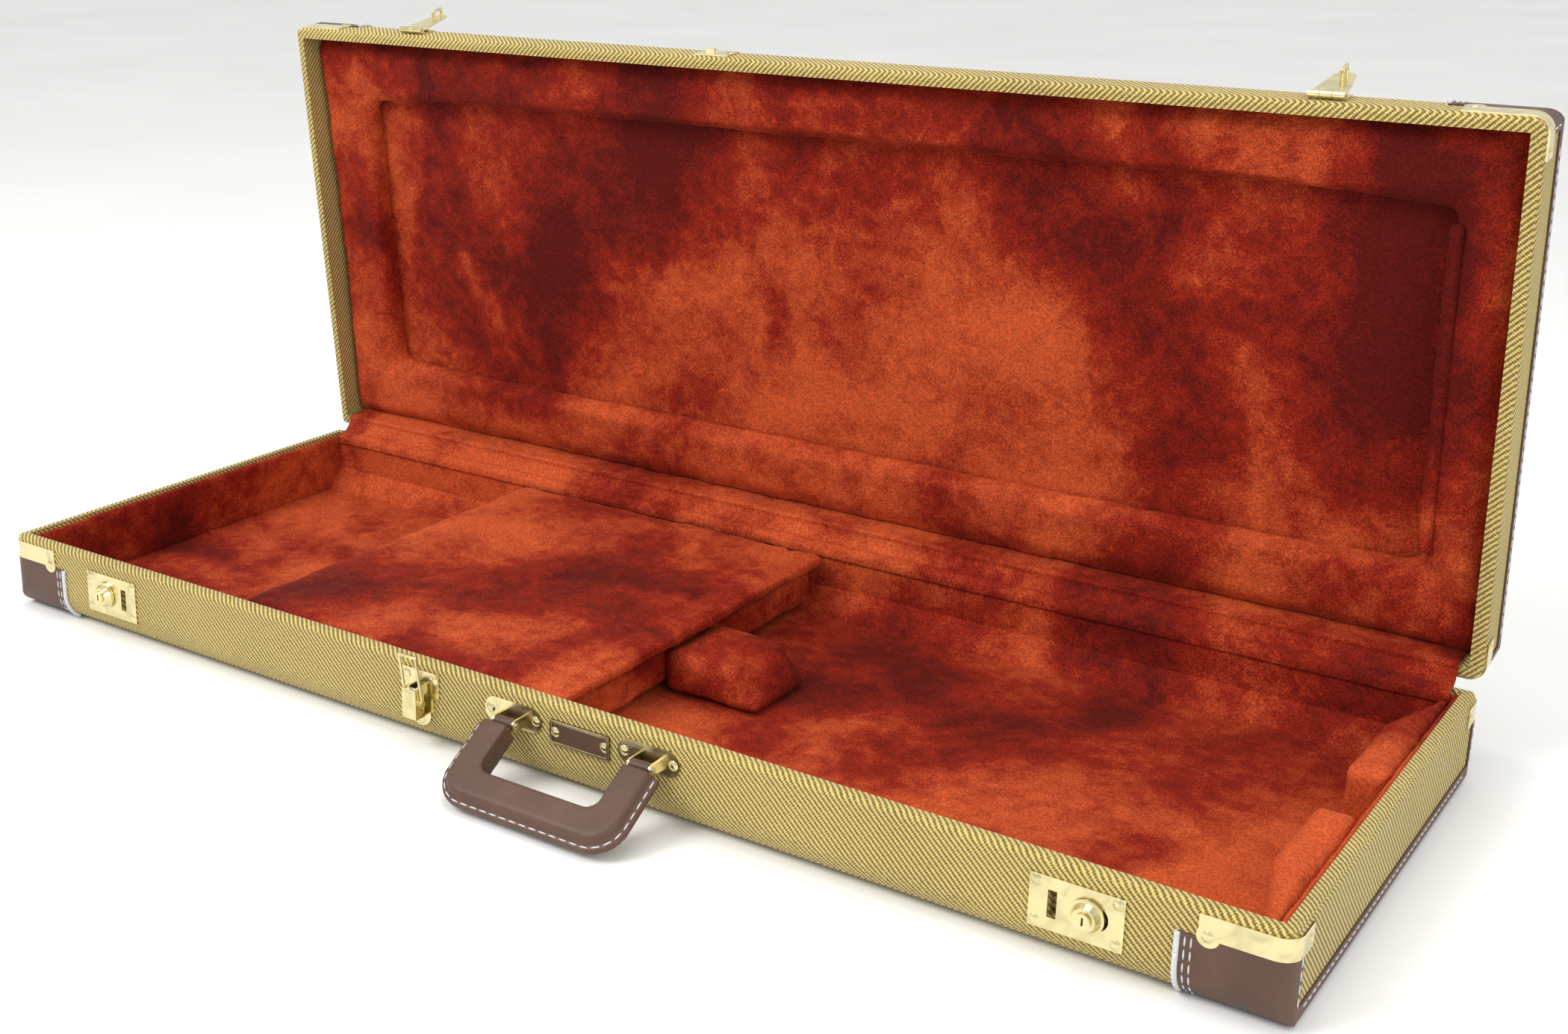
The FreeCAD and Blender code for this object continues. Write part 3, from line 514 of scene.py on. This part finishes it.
def stuff(obj, cap, voxel=None, edge=3 * MM):
    """Turns a shaped block into a padded piece: cloth pushed out by its stuffing."""
    pad = bpy.context.scene.case_padding
    apply(obj, "BEVEL", width=edge, segments=3, limit_method="ANGLE")
    apply(obj, "REMESH", mode="VOXEL", voxel_size=voxel or pad.voxel)
    before = [v.co.copy() for v in obj.data.vertices]
    cloth = obj.modifiers.new("Cloth", "CLOTH")
    cloth.settings.use_pressure = True
    cloth.settings.uniform_pressure_force = pad.pressure
    cloth.settings.quality = 4
    cloth.settings.effector_weights.gravity = 0
    cloth.point_cache.frame_start = 1
    cloth.point_cache.frame_end = pad.frames
    for step in range(1, pad.frames + 1):
        bpy.context.scene.frame_set(step)
    pick_only(obj)
    bpy.ops.object.modifier_apply(modifier=cloth.name)
    bpy.context.scene.frame_set(1)
    for v, old in zip(obj.data.vertices, before):
        move = v.co - old
        if move.length > cap:
            v.co = old + move * (cap / move.length)
    apply(obj, "SUBSURF", levels=1, render_levels=1)
    crumple(obj, pad.crumple)
    finish_pad(obj)


def finish_pad(obj):
    pick_only(obj)
    bpy.ops.object.shade_smooth()
    dress(obj, "plush")


def quilt(obj, cell):
    """A thin lining board, cut in cells and crumpled."""
    size = obj.dimensions
    low = Vector(obj.bound_box[0])
    cuts = []
    for axis in range(3):
        count = int(size[axis] / cell)
        normal = Vector([float(i == axis) for i in range(3)])
        cuts += [(low + normal * size[axis] * k / count, normal) for k in range(1, count)]
    cut_across(obj, cuts)
    apply(obj, "SUBSURF", levels=1, render_levels=1)
    crumple(obj, 0.8 * MM)
    finish_pad(obj)


def open_with_lid(obj):
    """Turns a piece that was made with the lid shut to where the open lid holds it."""
    obj.data.transform(LID_OPEN)
    obj.data.update()


def cord(name, points, radius, body):
    """A round piping cord along a line of points, closed at both ends."""
    curve = bpy.data.curves.new(name, "CURVE")
    curve.dimensions = "3D"
    curve.bevel_depth = radius
    curve.bevel_resolution = 3
    curve.use_fill_caps = True
    line = curve.splines.new("POLY")
    line.points.add(len(points) - 1)
    for place, p in zip(line.points, points):
        place.co = (*p, 1)
    obj = bpy.data.objects.new(name, curve)
    bpy.context.collection.objects.link(obj)
    pick_only(obj)
    bpy.ops.object.convert(target="MESH")
    obj = bpy.context.object
    bpy.ops.object.shade_smooth()
    dress(obj, "thread")
    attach(obj, body)
    return obj


def one_stitch():
    """A short fat dash of thread, humped in the middle, along X and proud along Z."""
    sew = bpy.context.scene.case_stitching
    half, r = sew.length / 2, sew.thread
    points, faces, sides = [], [], 6
    swell = ((-1, 0.35), (-0.6, 0.9), (0, 1.1), (0.6, 0.9), (1, 0.35))
    for share, scale in swell:
        x = half * share
        for k in range(sides):
            a = math.tau * k / sides
            points.append(Vector((x, r * scale * math.cos(a), r * scale * math.sin(a))))
    rows = len(swell) - 1
    for row in range(rows):
        for k in range(sides):
            a, b = row * sides + k, row * sides + (k + 1) % sides
            faces.append((a, a + sides, b + sides, b))
    faces.append(tuple(range(sides)))
    faces.append(tuple(rows * sides + k for k in reversed(range(sides))))
    return points, faces


def sew(name, rows, body, slot):
    """Stitches along rows of (point, outward normal), evenly spaced."""
    pitch = bpy.context.scene.case_stitching.pitch
    shape, sides = one_stitch()
    points, faces = [], []
    for row in rows:
        spare = pitch / 2
        for (a, na), (b, nb) in zip(row, row[1:]):
            run = (b - a).length
            x = (b - a).normalized()
            while spare < run:
                z = na.lerp(nb, spare / run).normalized()
                y = z.cross(x).normalized()
                z = x.cross(y)
                at = a + x * spare
                start = len(points)
                points += [at + x * p.x + y * p.y + z * p.z for p in shape]
                faces += [tuple(start + i for i in f) for f in sides]
                spare += pitch
            spare -= run
    mesh = bpy.data.meshes.new(name)
    mesh.from_pydata(points, [], faces)
    mesh.update()
    obj = bpy.data.objects.new(name, mesh)
    bpy.context.collection.objects.link(obj)
    pick_only(obj)
    bpy.ops.object.mode_set(mode="EDIT")
    bpy.ops.mesh.select_all(action="SELECT")
    bpy.ops.mesh.normals_make_consistent(inside=False)
    bpy.ops.object.mode_set(mode="OBJECT")
    bpy.ops.object.shade_smooth()
    dress(obj, "thread")
    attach(obj, body)
    return obj


def girdle(x, high, half, grow, turn=None):
    """Points and normals round the outside of a half-case at one x, mouth up, then turned."""
    r = FOLDED_EDGE + grow
    bends = 12
    line = [(Vector((x, -half - grow, high)), Vector((0, -1, 0)))]
    for side in (-1, 1):
        arc = []
        for k in range(bends + 1):
            a = math.radians(90 * k / bends)
            n = Vector((0, side * math.cos(a), -math.sin(a)))
            arc.append((Vector((x, side * (half - FOLDED_EDGE), FOLDED_EDGE)) + n * r, n))
        line += arc if side < 0 else arc[::-1]
    line.append((Vector((x, half + grow, high)), Vector((0, 1, 0))))
    return [(turn @ p, (turn.to_3x3() @ n)) for p, n in line] if turn else line


def above_ground(line, clear):
    """The front and back parts of a girdle that stay over the resting face."""
    middle = len(line) // 2
    return [
        [(p, n) for p, n in part if p.z > clear] for part in (line[:middle], line[middle:])
    ]


# ---- pieces ----

class CASE_OT_stage(bpy.types.Operator):
    """Lay the floor and set the lights and the camera"""

    bl_idname = "case.stage"
    bl_label = "Stage"

    def execute(self, context):
        bpy.ops.object.select_all(action="DESELECT")
        bpy.ops.mesh.primitive_grid_add(x_subdivisions=8, y_subdivisions=8, size=40)
        floor = bpy.context.object
        floor.name = "floor"
        dress(floor, "ground")
        world = bpy.data.worlds.new("studio")
        world.use_nodes = True
        sky = world.node_tree.nodes["Background"]
        sky.inputs["Color"].default_value = (1.0, 1.0, 1.0, 1)
        sky.inputs["Strength"].default_value = 0.88
        context.scene.world = world
        context.scene.view_settings.view_transform = "Standard"
        middle = Vector((0, 0, 0.15))
        for name, place, size, power in (
            ("key", (-1.1, -1.9, 2.3), 1.3, 52.0),
            ("fill", (2.2, -1.2, 1.3), 1.4, 18.0),
            ("top", (0.3, 0.1, 2.8), 1.6, 18.0),
        ):
            lamp = bpy.data.lights.new(name, "AREA")
            lamp.size = size
            lamp.energy = power
            obj = bpy.data.objects.new(name, lamp)
            obj.location = place
            aim = middle - Vector(place)
            obj.rotation_euler = aim.to_track_quat("-Z", "Y").to_euler()
            context.collection.objects.link(obj)
        camera = bpy.data.cameras.new("camera")
        camera.sensor_width = 36.0
        camera.lens = CAMERA_LENS
        camera.shift_x, camera.shift_y = CAMERA_SHIFT
        obj = bpy.data.objects.new("camera", camera)
        turn = Euler((math.radians(90 - CAMERA_DOWN), 0, math.radians(CAMERA_ROUND))).to_matrix()
        turn = turn @ Matrix.Rotation(math.radians(CAMERA_ROLL), 3, "Z")
        obj.matrix_world = Matrix.Translation(CAMERA_PLACE) @ turn.to_4x4()
        context.collection.objects.link(obj)
        context.scene.camera = obj
        return {"FINISHED"}


class CASE_OT_finishes(bpy.types.Operator):
    """Give the boards, leather and hardware their finishes"""

    bl_idname = "case.finishes"
    bl_label = "Finishes"

    def execute(self, context):
        slots = {p["node"]: p["material_slot"] for p in frame["record"]["subparts"]}
        finishes = {
            "trim_leather": "leather", "handle_leather": "leather", "brass": "brass",
            "steel": "steel", "plush": "plush", "board": "board", "nameplate": "leather",
        }
        for name, node in nodes.items():
            if slots[name] == "tweed":
                dress(node, "tweed_lid" if name.startswith("lid_") else "tweed_base")
            elif name == "handle_straps":
                dress(node, "leather")
            else:
                dress(node, finishes[slots[name]])
        return {"FINISHED"}


class CASE_OT_blocks(bpy.types.Operator):
    """Make the padded blocks and the cross walls of the base"""

    bl_idname = "case.blocks"
    bl_label = "Blocks and cross walls"

    def execute(self, context):
        inset = Vector((1.2 * MM,) * 3)
        near = 2 * MM  # a corner this close to a face of the box is on it
        neck_slope, block_slope, block_bend = 25 * MM, 20 * MM, 106 * MM
        for name in ("hinge_partition", "end_partition"):
            low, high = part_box(name)
            obj = block(name + "_pad", low + inset, high - inset)
            self.fill(obj, name, 2 * MM)
        low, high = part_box("neck_block")
        obj = block("neck_block_pad", low + inset, high - inset)
        shift(obj, lambda p: p.x > high.x - near and p.z > high.z - near, (-neck_slope, 0, 0))
        self.fill(obj, "neck_block", 3 * MM)
        for name, side in (("end_block_front", -1), ("end_block_back", 1)):
            low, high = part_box(name)
            obj = block(name + "_pad", low + inset, high - inset)
            bend = side * block_bend
            cut_across(obj, [(Vector((0, bend, 0)), Vector((0, 1, 0)))])
            shift(
                obj, lambda p: p.x < low.x + near and side * p.y > side * bend + MM,
                (block_slope, 0, 0),
            )
            self.fill(obj, name, 3 * MM)
        return {"FINISHED"}

    def fill(self, obj, node, cap):
        """Stuffs a shaped block and puts it in its node's place."""
        stuff(obj, cap, voxel=4 * MM)
        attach(obj, "base")
        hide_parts(node)


class CASE_OT_base_lining(bpy.types.Operator):
    """Line the floor and walls of the base with plush"""

    bl_idname = "case.base_lining"
    bl_label = "Lining of the base"

    def execute(self, context):
        tuck, clear = 3 * MM, 0.4 * MM
        # How many tucks a lining reaches behind its neighbours along each axis.
        for part, behind in (
            ("floor", (1, 3, 0)), ("front", (1, 0, 1)), ("back", (1, 0, 1)),
            ("left", (0, 1, 1)), ("right", (0, 1, 1)),
        ):
            node = "base_" + part + "_lining"
            low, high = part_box(node)
            spread = Vector(behind) * tuck
            obj = block(
                node + "_plush", low - spread,
                Vector((high.x + spread.x, high.y + spread.y, high.z - clear)),
            )
            quilt(obj, LINING_CELL)
            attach(obj, "base")
            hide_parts(node)
        for name, side in (("cove_back_plush", 1), ("cove_front_plush", -1)):
            self.cove(name, side)
        return {"FINISHED"}

    def cove(self, name, side):
        """The plush that runs from a long wall down into the floor."""
        floor_low, floor_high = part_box("base_floor_lining")
        wall_low, wall_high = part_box("base_back_lining")
        under, up, behind, proud = 8 * MM, 6 * MM, 3 * MM, 0.6 * MM
        near, far = side * (floor_high.y - under), side * (wall_low.y + behind)
        top = wall_low.z + up
        obj = block(
            name, (wall_low.x - MM, min(near, far), floor_low.z + MM),
            (wall_high.x + MM, max(near, far), top),
        )
        slope = side * (wall_low.y + proud) - near
        shift(obj, lambda p: abs(p.y) < floor_high.y and p.z > top - MM, (0, slope, 0))
        quilt(obj, COVE_CELL)
        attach(obj, "base")


class CASE_OT_door(bpy.types.Operator):
    """Make the padded door of the compartment"""

    bl_idname = "case.door"
    bl_label = "Compartment door"

    def execute(self, context):
        low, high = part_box("compartment_door")
        inset = Vector((0.4 * MM, 0.4 * MM, 1.8 * MM))
        obj = block("compartment_door_pad", low + inset, high - inset)
        stuff(obj, 1.5 * MM)
        crease, width, depth = high.x - 30 * MM, 3.5 * MM, 2.2 * MM
        middle = (low.z + high.z) / 2
        for v in obj.data.vertices:
            near = (v.co.x - crease) / width
            v.co.z -= math.copysign(depth, v.co.z - middle) * math.exp(-near**2)
        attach(obj, "compartment_door")
        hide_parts("compartment_door")
        return {"FINISHED"}


class CASE_OT_lid_lining(bpy.types.Operator):
    """Make the raised border and the sunk middle of the lid's padding"""

    bl_idname = "case.lid_lining"
    bl_label = "Lining of the lid"

    def execute(self, context):
        borders = ["lid_" + part + "_border" for part in ("front", "back", "left", "right")]
        low, high = shut_box(borders)
        mid_low, mid_high = shut_box(["lid_centre_pad"])
        tuck = Vector((4 * MM, 4 * MM, 0))
        skin = Vector((0, 0, 1.6 * MM))
        rim = ring("lid_border_pad", low - tuck + skin, high + tuck - skin, mid_low, mid_high)
        draw_in(rim, low, high)
        stuff(rim, 4 * MM, voxel=5.5 * MM, edge=8 * MM)
        hold_under(rim, high.z)
        open_with_lid(rim)
        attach(rim, "lid")
        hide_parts(*borders)
        under = Vector((14 * MM, 14 * MM, 0))
        middle = block("lid_centre_plush", mid_low - under, mid_high + under)
        quilt(middle, LID_CELL)
        open_with_lid(middle)
        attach(middle, "lid")
        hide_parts("lid_centre_pad")
        short = 9 * MM  # what the welt leaves free at each end
        welt = block(
            "lid_welt", (mid_high.x - 4 * MM, mid_low.y + short, low.z - 3 * MM),
            (mid_high.x + 5 * MM, mid_high.y - short, low.z + 6 * MM),
        )
        stuff(welt, 2 * MM, voxel=2.2 * MM)
        open_with_lid(welt)
        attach(welt, "lid")
        return {"FINISHED"}


def draw_in(obj, low, high):
    """Draws the top edges of the border in, where the lid's long edges are rounded."""
    depth = 9 * MM
    for v in obj.data.vertices:
        if v.co.z > high.z - depth / 2 and min(v.co.y - low.y, high.y - v.co.y) < depth / 2:
            v.co.y -= math.copysign(depth, v.co.y)


def hold_under(obj, top):
    """Keeps a pad just under the lid's panel."""
    clear = 0.3 * MM
    for v in obj.data.vertices:
        v.co.z = min(v.co.z, top - clear)


def along(line, t):
    """A place on the smooth curve through a line of points, t from 0 to 1."""
    spot = min(max(t, 0.0), 1.0) * (len(line) - 1)
    k = min(int(spot), len(line) - 2)
    u = spot - k
    a, b, c, d = line[max(k - 1, 0)], line[k], line[k + 1], line[min(k + 2, len(line) - 1)]
    return 0.5 * (
        2 * b + (c - a) * u + (2 * a - 5 * b + 4 * c - d) * u**2 + (3 * b - a - 3 * c + d) * u**3
    )


class CASE_OT_hinge_lining(bpy.types.Operator):
    """Lay the strip of plush that joins lid and base along the hinge"""

    bl_idname = "case.hinge_lining"
    bl_label = "Lining over the hinge"

    def execute(self, context):
        low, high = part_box("base_back_lining")
        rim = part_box("base_back_wall")[1].z
        border = shut_box(["lid_back_border"])[0].z
        half = high.x - 6 * MM
        gap = 1.6 * MM
        over = high.y + 3 * MM  # where the fold turns from base to lid
        back = high.y - 1.8 * MM  # where the strip lies against the lid's wall
        line = [
            Vector((0, low.y - MM, high.z - 7 * MM)), Vector((0, low.y - MM, high.z - MM)),
            Vector((0, high.y - 2 * MM, rim + gap)), Vector((0, over, rim + gap)),
            LID_OPEN @ Vector((0, over, rim - gap)),
            LID_OPEN @ Vector((0, high.y - 1.5 * MM, rim - MM)),
            LID_OPEN @ Vector((0, back, rim + 5 * MM)),
            LID_OPEN @ Vector((0, back, border)),
            LID_OPEN @ Vector((0, back, border + 7 * MM)),
            LID_OPEN @ Vector((0, back, border + 13 * MM)),
        ]
        bpy.ops.object.select_all(action="DESELECT")
        bpy.ops.mesh.primitive_grid_add(x_subdivisions=160, y_subdivisions=32, size=1)
        obj = bpy.context.object
        obj.name = "hinge_lining_plush"
        for v in obj.data.vertices:
            place = along(line, v.co.y + 0.5)
            rise = 0.5 * MM * noise.noise(Vector((v.co.x * 30, v.co.y * 3, 0)))
            v.co = Vector((v.co.x * 2 * half, place.y - rise, place.z + rise))
        apply(obj, "SOLIDIFY", thickness=1.2 * MM, offset=0)
        pick_only(obj)
        bpy.ops.object.shade_smooth()
        dress(obj, "plush")
        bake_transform(obj)
        return {"FINISHED"}


class CASE_OT_edging(bpy.types.Operator):
    """Sew the piping and the rows of stitches on the leather ends"""

    bl_idname = "case.edging"
    bl_label = "Piping and stitches"

    def execute(self, context):
        sew_set = context.scene.case_stitching
        half = -front_low.y
        base_low, base_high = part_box("base_left_end")
        reach = -base_low.x
        lid_low, lid_high = shut_box(["lid_left_end"])
        flip = Matrix.Translation((0, 0, lid_high.z)) @ Matrix.Rotation(math.pi, 4, "X")
        seam = reach - LEATHER_REACH
        beside_piping = (4.5 * MM, 8.0 * MM)
        low_row_height, low_row_inset = 10 * MM, 20 * MM
        side_row_inset, side_row_start = 9.5 * MM, 14 * MM
        proud = SKIN + 0.1 * MM
        for hand, side in (("left", -1), ("right", 1)):
            top = base_high.z - RIM_SKIRT
            line = girdle(side * seam, top, half, SKIN)
            parts = above_ground(line, sew_set.piping + 0.4 * MM)
            for place, part in zip(("front", "back"), parts):
                cord(
                    "base_%s_piping_%s" % (hand, place),
                    [p for p, n in part], sew_set.piping, "base",
                )
            lid_top = lid_high.z - lid_low.z - RIM_SKIRT
            turn = LID_OPEN @ flip
            line = girdle(side * seam, lid_top, half, SKIN, turn)
            cord("lid_%s_piping" % hand, [p for p, n in line], sew_set.piping, "lid")
            base_rows, lid_rows = [], []
            for step in beside_piping:
                x = side * (seam + step)
                line = girdle(x, top - MM, half, proud)
                base_rows += above_ground(line, SKIN)
                lid_rows.append(girdle(x, lid_top - MM, half, proud, turn))
            end = side * (reach + proud)
            out = Vector((side, 0, 0))
            corner = half - low_row_inset
            low_row = [(Vector((end, y, low_row_height)), out) for y in (-corner, corner)]
            base_rows.append(low_row)
            lid_rows.append([(turn @ p, turn.to_3x3() @ n) for p, n in low_row])
            for y in (side_row_inset - half, half - side_row_inset):
                base_rows.append(
                    [(Vector((end, y, z)), out) for z in (side_row_start, top - MM)]
                )
                lid_rows.append([
                    (turn @ Vector((end, y, z)), turn.to_3x3() @ out)
                    for z in (side_row_start, lid_top - MM)
                ])
            sew("base_%s_stitches" % hand, base_rows, "base", "trim_leather")
            sew("lid_%s_stitches" % hand, lid_rows, "lid", "trim_leather")
        return {"FINISHED"}


class CASE_OT_handle(bpy.types.Operator):
    """Round the moulded leather handle and stitch its flange"""

    bl_idname = "case.handle"
    bl_label = "Handle"

    def execute(self, context):
        source = nodes["handle_grip"]
        pick_only(source)
        bpy.ops.object.duplicate()
        obj = bpy.context.object
        obj.name = "handle_leather"
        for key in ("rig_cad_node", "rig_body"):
            if key in obj:
                del obj[key]
        obj.parent = None
        bpy.ops.object.mode_set(mode="EDIT")
        bpy.ops.mesh.select_all(action="SELECT")
        bpy.ops.mesh.remove_doubles(threshold=0.01 * MM)
        bpy.ops.object.mode_set(mode="OBJECT")
        apply(obj, "REMESH", mode="VOXEL", voxel_size=1.3 * MM)
        apply(obj, "SMOOTH", factor=0.5, iterations=6)
        pick_only(obj)
        bpy.ops.object.shade_smooth()
        dress(obj, "leather")
        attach(obj, "handle")
        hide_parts("handle_grip")
        swing = (
            Matrix.Translation(GRIP_PIVOT)
            @ Matrix.Rotation(math.radians(-HANDLE_DROP), 4, "X")
        )
        rows = []
        # The seam's outline from the pivot: half its width, its lowest edge and its corners.
        half, low, r = 70.6 * MM, -65.8 * MM, 21.6 * MM
        flange, top, bends = 2.6 * MM, -7 * MM, 8
        for face in (-1, 1):
            n = Vector((0, face, 0))
            y = face * flange
            line = [Vector((-half, y, top))]
            for side, start in ((-1, 180), (1, 270)):
                for k in range(bends + 1):
                    a = math.radians(start + 90 * k / bends)
                    centre = Vector((side * (half - r), y, low + r))
                    line.append(centre + Vector((r * math.cos(a), 0, r * math.sin(a))))
            line.append(Vector((half, y, top)))
            rows.append([(swing @ p, swing.to_3x3() @ n) for p in line])
        sew("handle_stitches", rows, "handle", "handle_leather")
        return {"FINISHED"}


class CASE_OT_nameplate(bpy.types.Operator):
    """Edge the blank nameplate with brass"""

    bl_idname = "case.nameplate"
    bl_label = "Nameplate edge"

    def execute(self, context):
        low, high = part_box("nameplate")
        width, proud = 1.9 * MM, 0.9 * MM
        obj = ring(
            "nameplate_edge", (low.x, low.z, 0), (high.x, high.z, proud),
            (low.x + width, low.z + width, 0), (high.x - width, high.z - width, proud),
        )
        stand = Matrix.Translation((0, low.y, 0)) @ Matrix.Rotation(math.radians(90), 4, "X")
        obj.data.transform(stand)
        apply(obj, "BEVEL", width=0.3 * MM, segments=2, limit_method="ANGLE")
        dress(obj, "brass")
        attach(obj, "base")
        return {"FINISHED"}


class CASE_PT_panel(bpy.types.Panel):
    """Lists the steps in the order that they are run"""

    bl_label = "Guitar case"
    bl_space_type = "VIEW_3D"
    bl_region_type = "UI"
    bl_category = "Case"

    def draw(self, context):
        for step in STEPS:
            self.layout.operator(step.bl_idname)


STEPS = (
    CASE_OT_stage, CASE_OT_finishes, CASE_OT_blocks, CASE_OT_base_lining, CASE_OT_door,
    CASE_OT_lid_lining, CASE_OT_hinge_lining, CASE_OT_edging, CASE_OT_handle, CASE_OT_nameplate,
)
GROUPS = {
    "case_stitching": CaseStitching, "case_padding": CasePadding, "case_colours": CaseColours,
}


def register():
    for kind in (*GROUPS.values(), *STEPS, CASE_PT_panel):
        bpy.utils.register_class(kind)
    for name, kind in GROUPS.items():
        setattr(bpy.types.Scene, name, PointerProperty(type=kind))


def unregister():
    for name in GROUPS:
        delattr(bpy.types.Scene, name)
    for kind in (CASE_PT_panel, *reversed(STEPS), *GROUPS.values()):
        bpy.utils.unregister_class(kind)


def main():
    register()
    for step in STEPS:
        group, name = step.bl_idname.split(".")
        getattr(getattr(bpy.ops, group), name)()


if __name__ == "__main__":
    main()
